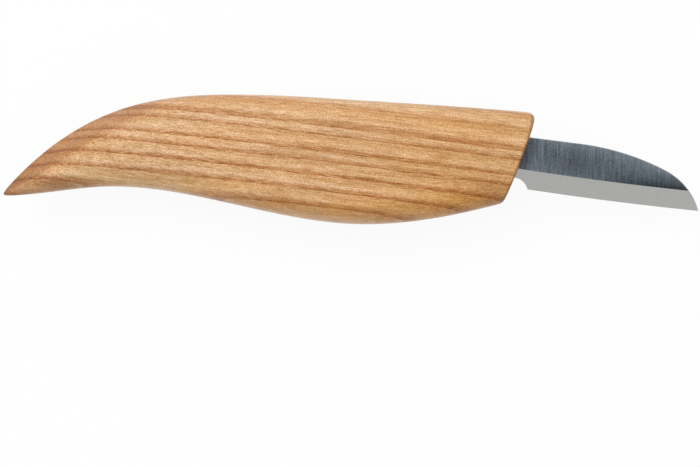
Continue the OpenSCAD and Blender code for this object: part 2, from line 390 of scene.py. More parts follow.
# %% Helpers for a bar and its tang
TANG_END_STEPS = 10
ALMOST_ROUND = 0.98
# A face looks along an axis if its normal reaches this far along it.
SQUARE_ON = 0.9
# Two places are the same if they are this close, in millimetres.
NEAR = 0.01


def add_bar(name, start, end, low, high, thickness):
    """A bar along x, from start to end and from low to high, its thickness about z = 0."""
    hands_free()
    bpy.ops.mesh.primitive_cube_add(
        size=1,
        location=((start + end) / 2, (low + high) / 2, 0),
        scale=(end - start, high - low, thickness),
    )
    return start_piece(name)


def extrude(move):
    """Extrude the selected faces and move what comes out."""
    bpy.ops.mesh.extrude_region_move(TRANSFORM_OT_translate={"value": move})


def draw_out_tang(gap, end_gap, thinning):
    """Extrude the face that looks back into a tang that tapers to a rounded end."""
    end_radius = TANG_END_HEIGHT / 2 + gap
    end_x = -NOTCH_RUN - TANG_LENGTH - end_gap + TANG_END_HEIGHT / 2
    taper = 2 * end_radius / (BLADE_HEIGHT - NOTCH_DEPTH + 2 * gap)
    pick("FACE", lambda f: f.normal.x < -SQUARE_ON and f.calc_center_median().y > NOTCH_DEPTH)
    extrude((end_x + NOTCH_RUN, 0, 0))
    tang_end = (end_x, TANG_MIDDLE, 0)
    bpy.ops.transform.resize(value=(1, taper, thinning), center_override=tang_end)
    extrude((-end_radius, 0, 0))
    far_x = end_x - end_radius
    pick(
        "EDGE",
        lambda e: all(abs(v.co.x - far_x) < NEAR for v in e.verts)
        and abs(e.verts[0].co.y - e.verts[1].co.y) < NEAR,
    )
    rounding = end_radius * ALMOST_ROUND
    bpy.ops.mesh.bevel(offset=rounding, segments=TANG_END_STEPS, affect="EDGES")


def droop_to_heel():
    """Turn a drawing along the cutting edge to the blade's angle and move it to the heel."""
    pick_all()
    turn(-BLADE_DROOP, (0, 0, 0))
    bpy.ops.transform.translate(value=HEEL)


print("the tang tapers to", TANG_END_HEIGHT, "mm")

# %% Block in the shape of the tang
MORTISE_REACH = 20.0

mortise = add_bar(
    "mortise",
    -NOTCH_RUN,
    MORTISE_REACH,
    NOTCH_DEPTH - GLUE_GAP,
    BLADE_HEIGHT + GLUE_GAP,
    BLADE_THICKNESS + 2 * GLUE_GAP,
)
draw_out_tang(GLUE_GAP, GLUE_END_GAP, 1)
droop_to_heel()
hands_free()
print("mortise block:", len(mortise.data.polygons), "faces")

# %% Cut the mortise and set the handle in place
WOOD_SMOOTHING = math.radians(35)


def cut_away(piece, tool):
    """Cut a tool's shape out of a piece with a Boolean, then remove the tool."""
    hands_free()
    piece.select_set(True)
    bpy.context.view_layer.objects.active = piece
    apply_modifier(piece, "BOOLEAN", operation="DIFFERENCE", object=tool, solver="EXACT")
    bpy.data.objects.remove(tool, do_unlink=True)


def set_in_place(piece, smoothing):
    """Move the active piece to the frame, shrink it to metres and shade its soft edges smooth."""
    bpy.ops.object.mode_set(mode="EDIT")
    pick_all()
    bpy.ops.transform.translate(value=DRAWING_TO_FRAME)
    bpy.ops.transform.resize(value=(MM, MM, MM), center_override=(0, 0, 0))
    hands_free()
    piece.select_set(True)
    bpy.ops.object.shade_smooth_by_angle(angle=smoothing)


cut_away(handle, mortise)
set_in_place(handle, WOOD_SMOOTHING)
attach(handle, "root")
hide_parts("handle")
print("handle with its mortise:", len(handle.data.polygons), "faces")

# %% [markdown]
# ## The blade blank
#
# The blade is cut from two millimetre carbon steel. We start with a bar that is as long as the
# cutting edge and the notch behind it, and take steel away. The spine sweeps down to the tip in
# a long curve and then a tighter one. A round outside curve is what many straight cuts leave, so
# the bar is bisected along one tangent after another, as a grinder would approach the line. The
# cutting edge bulges too, by about a quarter of a millimetre, and is cut in the same way from
# below.

# %% Arcs of the spine and the edge
BLADE_LENGTH = 40.9
SWEEP_START = 11.0
SWEEP_RADIUS = 60.0
TIP_RADIUS = 16.0
EDGE_BULGE = 0.27
EDGE_RADIUS = (BLADE_LENGTH**2 / 4 + EDGE_BULGE**2) / (2 * EDGE_BULGE)

edge_centre = Vector((BLADE_LENGTH / 2, EDGE_RADIUS - EDGE_BULGE, 0))
edge_turn = math.asin(BLADE_LENGTH / 2 / EDGE_RADIUS)
sweep_centre = Vector((SWEEP_START, BLADE_HEIGHT - SWEEP_RADIUS, 0))
tip = Vector((BLADE_LENGTH, 0, 0))
to_tip = tip - sweep_centre
centres_apart = SWEEP_RADIUS - TIP_RADIUS
tip_share = (centres_apart**2 - TIP_RADIUS**2 + to_tip.length**2) / (2 * to_tip.length)
tip_side = math.sqrt(centres_apart**2 - tip_share**2)
heading = to_tip.normalized()
sideways = Vector((-heading.y, heading.x, 0))
tip_centre = sweep_centre + tip_share * heading + tip_side * sideways
curves_meet = math.atan2(tip_centre.x - sweep_centre.x, tip_centre.y - sweep_centre.y)
at_tip = math.atan2(tip.x - tip_centre.x, tip.y - tip_centre.y)
print("spine turns", round(math.degrees(curves_meet), 1), "then", round(math.degrees(at_tip), 1))

# %% Bar cut to the arcs
SWEEP_CUTS = 26
TIP_CUTS = 22
EDGE_CUTS = 16
SPARE_STEEL = 1.0


def bisect_off(point, normal):
    """Cut the whole piece at a plane and throw away the side that the normal points to."""
    pick_all()
    bpy.ops.mesh.bisect(
        plane_co=point, plane_no=normal, use_fill=True, clear_outer=True, threshold=1e-5
    )


def tangent_cuts(centre, radius, first, last, count):
    """Take off everything above an arc. Its angles are measured from straight up."""
    for step in range(count):
        angle = first + (last - first) * (step + 0.5) / count
        outward = Vector((math.sin(angle), math.cos(angle), 0))
        bisect_off(centre + radius * outward, outward)


bar_end = BLADE_LENGTH + SPARE_STEEL
blade = add_bar("blade_steel", -NOTCH_RUN, bar_end, NOTCH_DEPTH, BLADE_HEIGHT, BLADE_THICKNESS)
pick("FACE", lambda f: f.normal.y < -SQUARE_ON)
extrude((0, -NOTCH_DEPTH - SPARE_STEEL, 0))
tangent_cuts(sweep_centre, SWEEP_RADIUS, 0, curves_meet, SWEEP_CUTS)
tangent_cuts(tip_centre, TIP_RADIUS, curves_meet, at_tip, TIP_CUTS)
tangent_cuts(edge_centre, EDGE_RADIUS, math.pi + edge_turn, math.pi - edge_turn, EDGE_CUTS)
print("straight cuts:", SWEEP_CUTS + TIP_CUTS + EDGE_CUTS)

# %% [markdown]
# ## The bevels, the tang and the notch
#
# One bevel on each side runs from a crisp line down to the cutting edge, where a twentieth of a
# millimetre is left. It follows the curve of the edge, so it is a row of narrow bisections, each
# along a plane that leans twelve degrees. Then the tang is drawn out of the back of the bar, and
# a round notch is cut between the heel and the handle with the shape of a grinding wheel.

# %% Grind the bevels
BEVEL_HEIGHT = 4.5
EDGE_LAND = 0.05

bevel_in = (BLADE_THICKNESS - EDGE_LAND) / 2
for step in range(EDGE_CUTS):
    angle = edge_turn * (2 * (step + 0.5) / EDGE_CUTS - 1)
    downward = Vector((math.sin(angle), -math.cos(angle), 0))
    for side in (-1, 1):
        on_edge = edge_centre + EDGE_RADIUS * downward + Vector((0, 0, side * EDGE_LAND / 2))
        outward = bevel_in * downward + Vector((0, 0, side * BEVEL_HEIGHT))
        bisect_off(on_edge, outward.normalized())
bevel_angle = math.degrees(math.atan2(bevel_in, BEVEL_HEIGHT))
print("each bevel leans", round(bevel_angle, 2), "degrees")

# %% Draw out the tang and cut the notch
TANG_END_THICKNESS = 1.6
WHEEL_POINTS = 96
WHEEL_WIDTH = 6.0

draw_out_tang(0, 0, TANG_END_THICKNESS / BLADE_THICKNESS)
hands_free()
bpy.ops.mesh.primitive_cylinder_add(
    vertices=WHEEL_POINTS,
    radius=NOTCH_RADIUS,
    depth=WHEEL_WIDTH,
    location=(-NOTCH_RUN, NOTCH_DEPTH - NOTCH_RADIUS, 0),
)
wheel = start_piece("grinding_wheel")
cut_away(blade, wheel)
print("blade with its tang and notch:", len(blade.data.polygons), "faces")

# %% [markdown]
# ## Easing the spine
#
# The spine would bite the thumb that pushes on it, so its two long edges are eased by a seventh
# of a millimetre. That also gives the thin light line along the back of the blade. The edges are
# found as the ones between a flat cheek and a face that looks up, and bevelled together.

# %% Ease the spine and set the blade in place
EASED = 0.14
EASED_STEPS = 2
FLAT = 0.99
TILTED = 0.1
STEEL_SMOOTHING = math.radians(7)


def is_spine_edge(edge):
    """True for an edge between a flat cheek and the spine in front of the wood."""
    if len(edge.link_faces) != 2 or min(v.co.x for v in edge.verts) < -NOTCH_RUN - NEAR:
        return False
    flats = [abs(face.normal.z) > FLAT for face in edge.link_faces]
    rising = [face.normal.y > TILTED for face in edge.link_faces]
    return any(flats) and any(rising)


bpy.ops.object.mode_set(mode="EDIT")
eased = pick("EDGE", is_spine_edge)
bpy.ops.mesh.bevel(offset=EASED, segments=EASED_STEPS, affect="EDGES")
pick_all()
bpy.ops.mesh.normals_make_consistent(inside=False)
droop_to_heel()
set_in_place(blade, STEEL_SMOOTHING)
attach(blade, "root")
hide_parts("blade")
print("eased", eased, "edges of the spine")

# %% [markdown]
# ## Building a finish from nodes
#
# Every finish below is worked out from where a point is on the object, so it goes right through
# the piece like real grain and needs no picture. A few helpers keep the cells short: they add a
# node, wire it, or add a ramp of colours. Colours are written as they look, from 0 to 255, and
# turned into the linear light that the shader counts in.

# %% Helpers for nodes
def seen(red, green, blue):
    """A colour as it looks, 0 to 255, turned into linear light."""
    parts = [value / 255 for value in (red, green, blue)]
    return [p / 12.92 if p <= 0.04045 else ((p + 0.055) / 1.055) ** 2.4 for p in parts] + [1]


def new_finish(name):
    """A new material with one Principled shader. Returns the material, its tree and the shader."""
    material = bpy.data.materials.new(name)
    material.use_nodes = True
    return material, material.node_tree, material.node_tree.nodes["Principled BSDF"]


def fill(tree, node, inputs):
    """Give a node its inputs. A socket is wired, and a number or a colour is set."""
    for socket, value in inputs.items():
        if isinstance(value, bpy.types.NodeSocket):
            tree.links.new(value, node.inputs[socket])
        else:
            node.inputs[socket].default_value = value


def add(tree, kind, inputs=None, **settings):
    """Add a node, set it up and give it its inputs."""
    made = tree.nodes.new("ShaderNode" + kind)
    for name, value in settings.items():
        setattr(made, name, value)
    fill(tree, made, inputs or {})
    return made


def add_ramp(tree, factor, stops):
    """A ramp through stops of (place, colour), wired to a factor. Returns its colour."""
    ramp = add(tree, "ValToRGB", {"Fac": factor})
    elements = ramp.color_ramp.elements
    elements.remove(elements[1])
    elements[0].position, elements[0].color = stops[0]
    for place, colour in stops[1:]:
        elements.new(place).color = colour
    return ramp.outputs["Color"]


def grey(value):
    """A grey from 0, black, to 1, white."""
    return (value, value, value, 1)


print("node helpers ready")

# %% [markdown]
# ## Ash grain
#
# A tree lays down one ring a year, so its grain is a set of tubes round the pith. This stick was
# split from the side of a trunk: the pith runs sixty millimetres out from the middle of the
# knife, on the side of the belly and a little above the handle, and seven degrees out of line
# with it. A Mapping node turns the object into the tree, with the fibres along x. The distance
# from that axis then says which ring a point is in, on every side of the handle at once, so
# lines that leave one side come out on the other. Painting stripes would be simpler, but they
# would break at the edges.

# %% From the handle to the tree
PITH_PLACE = (0, -0.060, 0.0253)
PITH_TURN = (0, math.radians(2.6), math.radians(-7.1))

ash, ash_tree, ash_shader = new_finish("oiled_ash")
ash_place = add(ash_tree, "TexCoord").outputs
to_tree = {"Vector": ash_place["Object"], "Location": PITH_PLACE, "Rotation": PITH_TURN}
grain = add(ash_tree, "Mapping", to_tree, vector_type="TEXTURE").outputs["Vector"]


def marks(tree, place, size, seed, detail=2.0, roughness=0.5):
    """Noise with marks of about the given size in millimetres along x, y and z."""
    scale = [1 / (length * MM) for length in size]
    inputs = {"Vector": place, "Scale": scale, "Location": (seed, seed, seed)}
    scaled = add(tree, "Mapping", inputs).outputs["Vector"]
    inputs = {"Vector": scaled, "Scale": 1, "Detail": detail, "Roughness": roughness}
    return add(tree, "TexNoise", inputs).outputs["Fac"]


print("pith at", PITH_PLACE)

# %% [markdown]
# ## Rings
#
# Each ring of ash starts with a dark band of wide pores, laid down in spring, and goes over into
# dense pale summer wood. No two rings are as wide as each other. A ramp along the distance from
# the pith holds where each ring starts: its red rises with the depth into the ring and falls
# back to zero at the next one, and its green says how strongly this ring shows.

# %% Distance from the pith
SWAY = 0.0005
SWAY_SIZE = (50, 10, 10)
FEATHER = 0.0004
FEATHER_SIZE = (14, 0.35, 0.35)


def calc(tree, operation, *values):
    """The result of a Math node on sockets or numbers."""
    return add(tree, "Math", dict(enumerate(values)), operation=operation).outputs["Value"]


def multiply_add(tree, value, factor, more):
    """value * factor + more, where each may be a socket or a number."""
    return calc(tree, "MULTIPLY_ADD", value, factor, more)


across_grain = add(
    ash_tree, "VectorMath", {0: grain, 1: (0, 1, 1)}, operation="MULTIPLY"
).outputs["Vector"]
radius = add(ash_tree, "VectorMath", {0: across_grain}, operation="LENGTH").outputs["Value"]
sway = marks(ash_tree, grain, SWAY_SIZE, seed=3.7)
swayed = multiply_add(ash_tree, sway, SWAY, radius)
feather = marks(ash_tree, grain, FEATHER_SIZE, seed=4.9)
swayed = multiply_add(ash_tree, feather, FEATHER, swayed)
pith_above = PITH_PLACE[2] - DRAWING_TO_FRAME[2] * MM
middle_radius = math.hypot(PITH_PLACE[1], pith_above) + (SWAY + FEATHER) / 2
print("the knife's middle is", round(middle_radius, 4), "m from the pith")

# %% Depth into the ring
RING_STARTS = [-17.6, -14.0, -10.5, -7.15, -3.85, -1.45, 2.3, 4.45, 5.05, 9.7, 13.4]
RING_STRENGTHS = [0.7, 0.85, 0.9, 1.0, 0.8, 0.75, 0.75, 0.7, 0.6, 0.5, 0.5]
RINGS_FROM, RINGS_TO = -19.0, 17.5
RING_DROP = 0.0004
DEEPEST = 6.0

ring_range = {
    "Value": swayed,
    "From Min": middle_radius + RINGS_FROM * MM,
    "From Max": middle_radius + RINGS_TO * MM,
}
ring_place = add(ash_tree, "MapRange", ring_range).outputs["Result"]
ring_stops = []
for start, end, strength in zip(RING_STARTS, RING_STARTS[1:] + [RINGS_TO], RING_STRENGTHS):
    first = (start - RINGS_FROM) / (RINGS_TO - RINGS_FROM)
    last = (end - RINGS_FROM) / (RINGS_TO - RINGS_FROM) - RING_DROP
    ring_stops.append((first, (0, strength, 0, 1)))
    ring_stops.append((last, ((end - start) / DEEPEST, strength, 0, 1)))
ring = add_ramp(ash_tree, ring_place, ring_stops)
ring_parts = add(ash_tree, "SeparateColor", {"Color": ring}).outputs
print("rings:", len(RING_STARTS), "ramp stops:", len(ring_stops))

# %% Spring wood and summer wood
SUMMER_WOOD = [
    (0.0, 213, 162, 107),
    (1.4, 227, 183, 138),
    (2.4, 221, 175, 125),
    (5.0, 210, 157, 102),
]
SPRING_WOOD = seen(176, 110, 55)
SPRING_SHARE = [
    (0.0, 0.15),
    (0.22, 0.85),
    (0.5, 0.68),
    (0.9, 0.38),
    (1.4, 0.06),
    (2.0, 0.0),
    (4.5, 0.12),
]
BREAK_SIZE = (9, 0.22, 0.22)
BREAK_CONTRAST = 4.0


def product(tree, first, second):
    """first * second, where each may be a socket or a number."""
    return calc(tree, "MULTIPLY", first, second)


def mix_colours(tree, share, first, second, blend="MIX"):
    """Blend two colours by a share, where each may be a socket or a value."""
    inputs = {0: share, 6: first, 7: second}
    return add(tree, "Mix", inputs, data_type="RGBA", blend_type=blend).outputs[2]


summer_stops = [(depth / DEEPEST, seen(*colour)) for depth, *colour in SUMMER_WOOD]
spring_stops = [(depth / DEEPEST, grey(share)) for depth, share in SPRING_SHARE]
summer = add_ramp(ash_tree, ring_parts["Red"], summer_stops)
spring_share = add_ramp(ash_tree, ring_parts["Red"], spring_stops)
breaks = marks(ash_tree, grain, BREAK_SIZE, seed=8.8)
unbroken = multiply_add(ash_tree, breaks, BREAK_CONTRAST, 1 - BREAK_CONTRAST / 2)
spring = product(ash_tree, spring_share, product(ash_tree, ring_parts["Green"], unbroken))
ring_colour = mix_colours(ash_tree, spring, summer, SPRING_WOOD)
print("spring wood", [round(c, 3) for c in SPRING_WOOD])

# %% [markdown]
# ## Fibres, pores and end grain
#
# Between the rings the wood is streaked: long pale and dark fibres, and short dark dashes where
# the knife cut a pore open along its length. All of these are noise that is stretched along the
# grain. Where the surface cuts across the fibres, at the front end and on the back of the beak,
# it drinks more oil and looks darker and warmer. The angle between the surface and the fibres
# gives that.

# %% Fibres
FIBRES = [
    ((18, 0.35, 0.35), 0.6),
    ((45, 2.2, 2.2), 0.2),
    ((25, 0.8, 0.8), 0.35),
    ((5, 0.25, 0.25), 0.7),
    ((2, 0.2, 0.2), 0.3),
    ((0.3, 0.25, 0.25), 1.2),
]
GREEN_POWER = 1.5
BLUE_POWER = 2.4
PATCH_SIZE = (60, 8, 8)
PATCH_TINTS = [(0.35, (1, 0.965, 0.89, 1)), (0.65, (0.965, 1, 1, 1))]


def waver(tree, layers):
    """A lightness that wavers about 1. Each layer is a noise and its share."""
    lightness = 1 - sum(share for _, share in layers) / 2
    for noise, share in layers:
        lightness = multiply_add(tree, noise, share, lightness)
    return lightness


def tinted(tree, colour, tint):
    """A colour multiplied by a tint."""
    return mix_colours(tree, 1, colour, tint, "MULTIPLY")


fibres = [(marks(ash_tree, grain, size, seed=5.1 + size[0]), share) for size, share in FIBRES]
fine_fibre = fibres[0][0]
lightness = waver(ash_tree, fibres)
fibre_parts = {
    "Red": lightness,
    "Green": calc(ash_tree, "POWER", lightness, GREEN_POWER),
    "Blue": calc(ash_tree, "POWER", lightness, BLUE_POWER),
}
fibre_tint = add(ash_tree, "CombineColor", fibre_parts).outputs["Color"]
streaked = tinted(ash_tree, ring_colour, fibre_tint)
patches = marks(ash_tree, grain, PATCH_SIZE, seed=2.4)
patched = tinted(ash_tree, streaked, add_ramp(ash_tree, patches, PATCH_TINTS))
print("layers of fibres:", len(fibres))

# %% Pores
PORE_SIZE = (3.2, 0.2, 0.2)
PORE_STOPS = [(0.56, grey(0)), (0.68, grey(1))]
PORES_EVERYWHERE = 0.22
PORES_IN_SPRING = 0.75
PORE_COLOUR = seen(134, 88, 52)

pore_noise = marks(ash_tree, grain, PORE_SIZE, seed=1.9, detail=1.5)
pore = add_ramp(ash_tree, pore_noise, PORE_STOPS)
pore_room = multiply_add(ash_tree, spring, PORES_IN_SPRING, PORES_EVERYWHERE)
pore_share = product(ash_tree, pore, pore_room)
pored = mix_colours(ash_tree, pore_share, patched, PORE_COLOUR)
print("pores about", PORE_SIZE[0], "mm long")

# %% End grain
FIBRE_DIRECTION = (
    math.cos(PITH_TURN[2]) * math.cos(PITH_TURN[1]),
    math.sin(PITH_TURN[2]) * math.cos(PITH_TURN[1]),
    -math.sin(PITH_TURN[1]),
)
OIL = [
    (0, 1, 1, 1),
    (0.06, 0.98, 0.97, 0.96),
    (0.2, 0.74, 0.6, 0.48),
    (0.4, 0.66, 0.52, 0.4),
    (1, 0.46, 0.31, 0.21),
]


def dot(tree, first, second):
    """How far one vector reaches along another."""
    inputs = {0: first, 1: second}
    return add(tree, "VectorMath", inputs, operation="DOT_PRODUCT").outputs["Value"]


facing = dot(ash_tree, ash_place["Normal"], FIBRE_DIRECTION)
cut_across = product(ash_tree, facing, facing)
oil_stops = [(share, (*tint, 1)) for share, *tint in OIL]
oil_and_painted_light = tinted(ash_tree, pored, add_ramp(ash_tree, cut_across, oil_stops))
print("fibres run along", [round(c, 3) for c in FIBRE_DIRECTION])

# %% [markdown]
# ## Oil, hands and painted light
#
# Oil never soaks in evenly, and hands add to it. The thin tail has drunk the most, and the
# lower front has gone a deep yellow brown. Other blots are painted light and shade: painted
# shade on the lower side of the tail, in the hollow under the tail ridge, along the lower edge
# of the belly and across the middle; painted light behind the tail ridge and on a strip above
# the belly; and painted sheen in pale bluish patches in the middle and along the back. Each is a
# soft blot: a cone that is 1 at its middle and falls to 0 at its reach. A row gives the middle
# and the reach in millimetres, and the tint that the wood is multiplied by.

# %% Blots of oil and of painted light and shade
OIL_AND_PAINTED_LIGHT_BLOTS = [
    ((0, 0), (14, 40, 40), (0.8, 0.73, 0.72)),
    # Painted shade on the lower side of the tail.
    ((7, -2), (22, 8, 40), (0.72, 0.64, 0.58)),
    ((114.5, 0.5), (10, 5, 60), (0.84, 0.77, 0.7)),
    ((112, -7), (38, 29, 60), (0.88, 0.73, 0.45)),
    # Painted sheen: a broad pale bluish patch in the middle.
    ((46, 9), (52, 18, 60), (1.0, 1.02, 1.1)),
    ((40, 25), (28, 9, 60), (0.93, 0.8, 0.7)),
    # Painted shadow in the hollow under the tail ridge.
    ((13.5, 3), (7, 2.4, 60), (0.6, 0.5, 0.45)),
    # Painted highlight just behind the tail ridge.
    ((13, 6), (6, 2, 60), (1.12, 1.12, 1.16)),
    # Painted shade: a darker, warmer band along the lower edge of the belly.
    ((64, -1.6), (12, 3, 60), (0.94, 0.78, 0.49)),
    ((79, -3.2), (14, 3, 60), (0.95, 0.8, 0.49)),
    ((94, -3.4), (14, 3, 60), (0.98, 0.89, 0.64)),
    ((109, -1.2), (14, 3, 60), (1.0, 0.94, 0.62)),
    # Painted light on a strip above the belly.
    ((62, 2.4), (14, 3, 60), (1.14, 1.14, 1.16)),
    ((85, -0.4), (15, 3, 60), (1.23, 1.24, 1.3)),
    ((103, 1), (17, 3.4, 60), (1.17, 1.17, 1.18)),
    ((103.8, 8.8), (3.8, 1.5, 60), (0.76, 0.6, 0.42)),
    ((84, 16), (18, 3.5, 60), (0.86, 0.82, 0.78)),
    # Painted shade across the middle.
    ((83, 9), (16, 4, 60), (0.9, 0.85, 0.8)),
    # Painted sheen near the back.
    ((50, 17.5), (13, 3, 60), (1.0, 1.04, 1.14)),
    ((27, 3.2), (15, 2.8, 60), (1.04, 0.97, 0.78)),
    ((47, 1.6), (17, 3.4, 60), (1.1, 1.04, 0.82)),
    # Painted shade across the middle.
    ((70, 9.5), (14, 4.5, 60), (0.92, 0.87, 0.83)),
    ((111, 18), (16, 5, 60), (0.97, 0.95, 0.91)),
    ((125, 13), (8, 9, 60), (1.05, 1.13, 1.24)),
    # Painted sheen along the back.
    ((86, 22), (20, 4, 60), (1.02, 1.08, 1.17)),
]


def blot(tree, place, centre, reach):
    """1 at a centre, falling evenly to 0 at a reach, both in millimetres along x, y and z."""
    inputs = {
        "Vector": place,
        "Location": [c * MM for c in centre],
        "Scale": [r * MM for r in reach],
    }
    scaled = add(tree, "Mapping", inputs, vector_type="TEXTURE").outputs["Vector"]
    return add(tree, "TexGradient", {"Vector": scaled}, gradient_type="SPHERICAL").outputs["Fac"]


# Each blot tints the wood: some are oil, the others painted shade, painted light or painted sheen.
for centre, reach, tint in OIL_AND_PAINTED_LIGHT_BLOTS:
    in_frame = Vector((*centre, 0)) + Vector(DRAWING_TO_FRAME)
    share = blot(ash_tree, ash_place["Object"], in_frame, reach)
    blotted = tinted(ash_tree, oil_and_painted_light, (*tint, 1))
    oil_and_painted_light = mix_colours(ash_tree, share, oil_and_painted_light, blotted)
print("blots of oil:", len(OIL_AND_PAINTED_LIGHT_BLOTS))

# %% [markdown]
# ## The feel of the wood
#
# Oiled ash is silky, not shiny. The summer wood polishes a little under the hand, the pores stay
# dull, and the spring wood sands away faster and lies a few hundredths lower. Roughness and bump
# take that from the same noise as the colour, so dark dashes and hollows fall together. The oil
# is a thin satin coat over the wood, which shows as a pale rim where the surface turns away.

# %% Roughness and relief of the wood
POLISHED = 0.42
PORE_ROUGHNESS = 0.3
FIBRE_ROUGHNESS = 0.12
SPRING_DEPTH = 0.5
RELIEF_STRENGTH = 0.5
RELIEF = 0.00006
OIL_COAT = {"Specular IOR Level": 0.05, "Coat Weight": 0.5, "Coat Roughness": 0.22}


def bump(tree, height, strength, distance):
    """The normals of a surface whose relief is at most a distance, in metres."""
    inputs = {"Height": height, "Strength": strength, "Distance": distance}
    return add(tree, "Bump", inputs).outputs["Normal"]


roughness = multiply_add(ash_tree, pore_share, PORE_ROUGHNESS, POLISHED)
roughness = multiply_add(ash_tree, fine_fibre, FIBRE_ROUGHNESS, roughness)
height = multiply_add(ash_tree, pore_share, -1.0, fine_fibre)
height = multiply_add(ash_tree, spring, -SPRING_DEPTH, height)
relief = bump(ash_tree, height, RELIEF_STRENGTH, RELIEF)
fill(ash_tree, ash_shader, {"Base Color": oil_and_painted_light, "Roughness": roughness, "Normal": relief})
fill(ash_tree, ash_shader, OIL_COAT)
handle.data.materials.append(ash)
print("ash finish has", len(ash_tree.nodes), "nodes")

# %% [markdown]
# ## Ground steel
#
# The blade has three finishes. The cheeks were ground across on a belt, which leaves fine lines
# from spine to edge on dark steel. The bevels were honed along the edge until they are bright and
# even. The spine, the notch and the tang were only filed. Each finish is its own material on its
# own faces, picked by the way they face.

# %% The blade's own axes
HEEL_IN_FRAME = [(place + shift) * MM for place, shift in zip(HEEL, DRAWING_TO_FRAME)]


def blade_axes(tree):
    """Places along the cutting edge (x), up to the spine (y) and through the steel (z)."""
    inputs = {
        "Vector": add(tree, "TexCoord").outputs["Object"],
        "Location": HEEL_IN_FRAME,
        "Rotation": (0, 0, -BLADE_DROOP),
    }
    return add(tree, "Mapping", inputs, vector_type="TEXTURE").outputs["Vector"]


print("heel, in metres:", [round(place, 4) for place in HEEL_IN_FRAME])

# %% Belt marks on the cheek
LINE_SIZE = (0.2, 7, 7)
BAND_SIZE = (1.6, 20, 20)
SPOT_SIZE = (0.35, 0.35, 0.35)
LINE_SHARE = 1.7
BAND_SHARE = 0.2
SPOT_SHARE = 1.2

cheek, cheek_tree, cheek_shader = new_finish("belt_ground_steel")
upright = add(cheek_tree, "TexCoord").outputs["Object"]
belt_lines = marks(cheek_tree, upright, LINE_SIZE, seed=2.2, detail=2.5, roughness=0.6)
belt_bands = marks(cheek_tree, upright, BAND_SIZE, seed=7.4)
scale_spots = marks(cheek_tree, upright, SPOT_SIZE, seed=4.6, detail=3)
belt_marks = [(belt_lines, LINE_SHARE), (belt_bands, BAND_SHARE), (scale_spots, SPOT_SHARE)]
belt_tone = waver(cheek_tree, belt_marks)
print("belt marks:", len(belt_marks))

# %% [markdown]
# ## Cheek tones, painted shade and a painted highlight
#
# The steel is darker along the bevel line towards the tip, with a touch of blue green, and
# lighter along the spine, where the lightest band is a painted highlight. Close to the wood the
# cheek is darkened as painted shade of the handle, and it is darker in two soft patches. A share
# that goes from 0 at the bevel line to 1 at the spine gives the tones across the cheek.
# The spine curves, so its height is worked out for each place along the edge.

# %% Places on the cheek
TIPWARD_FROM, TIPWARD_TO = 6.0, 30.0
WOOD_SHADE = 0.6
WOOD_SHADE_REACH = 3.3
FRONT_LEAN = FRONT_RAKE - BLADE_DROOP
FRONT_FACING = (math.cos(FRONT_LEAN), -math.sin(FRONT_LEAN), 0)


def smooth_step(tree, value, start, end, low=0.0, high=1.0):
    """low up to the start, high from the end on, and a smooth change between them."""
    inputs = {"Value": value, "From Min": start, "From Max": end, "To Min": low, "To Max": high}
    return add(tree, "MapRange", inputs, interpolation_type="SMOOTHSTEP").outputs["Result"]


steel_place = blade_axes(cheek_tree)
steel_xyz = add(cheek_tree, "SeparateXYZ", {"Vector": steel_place}).outputs
past_straight = calc(cheek_tree, "SUBTRACT", steel_xyz["X"], SWEEP_START * MM)
past_straight = calc(cheek_tree, "MAXIMUM", past_straight, 0)
past_squared = product(cheek_tree, past_straight, past_straight)
full_height = (BLADE_HEIGHT - BEVEL_HEIGHT) * MM
# Past its straight start the spine drops by about the distance squared over twice the radius.
spine_height = multiply_add(cheek_tree, past_squared, -0.5 / (SWEEP_RADIUS * MM), full_height)
above_bevel = calc(cheek_tree, "SUBTRACT", steel_xyz["Y"], BEVEL_HEIGHT * MM)
up_share = calc(cheek_tree, "DIVIDE", above_bevel, spine_height)
towards_tip = smooth_step(cheek_tree, steel_xyz["X"], TIPWARD_FROM * MM, TIPWARD_TO * MM)
front_corner = Vector((HANDLE_LENGTH, FRONT_TOP, 0)) - Vector(HEEL)
wood_edge = front_corner.dot(FRONT_OUT) + FRONT_CROWN
shade_end = wood_edge + WOOD_SHADE_REACH
from_wood = dot(cheek_tree, steel_place, FRONT_FACING)
# Painted shade: the cheek darkens towards the wood, where the handle shades it.
painted_wood_shade = smooth_step(cheek_tree, from_wood, wood_edge * MM, shade_end * MM, low=WOOD_SHADE)
print("the wood ends", round(-wood_edge, 3), "mm behind the heel")

# %% Dark above the bevel, painted highlight along the spine
# Tones from the bevel line at 0 to the spine at 1; the light end at the spine is a painted
# highlight.
TIPWARD_TONES = [
    (0.0, 0.225, 0.265, 0.27),
    (0.15, 0.36, 0.395, 0.4),
    (0.35, 0.59, 0.615, 0.615),
    (0.6, 0.74, 0.74, 0.74),
    (0.8, 0.92, 0.92, 0.92),
    (1.0, 1.15, 1.15, 1.15),
]
EVEN_TONES = [(0.0, 0.88), (0.2, 0.78), (0.5, 0.72), (0.8, 0.8), (1.0, 1.05)]
DARK_PATCHES = [((10.5, 7.4, 0), (8.5, 4.5, 20), 0.68), ((35, 5.2, 0), (9, 4.5, 20), 0.66)]
STEEL_COLOUR = (0.333, 0.39, 0.452, 1)
GROUND_ROUGHNESS = 0.25
LINE_ROUGHNESS = 0.2
LINE_STRENGTH = 0.25
LINE_RELIEF = 0.00002

even_stops = [(place, grey(value)) for place, value in EVEN_TONES]
tipward_stops = [(place, (*tint, 1)) for place, *tint in TIPWARD_TONES]
even_tone = add_ramp(cheek_tree, up_share, even_stops)
tipward_tone = add_ramp(cheek_tree, up_share, tipward_stops)
cheek_tone = mix_colours(cheek_tree, towards_tip, even_tone, tipward_tone)
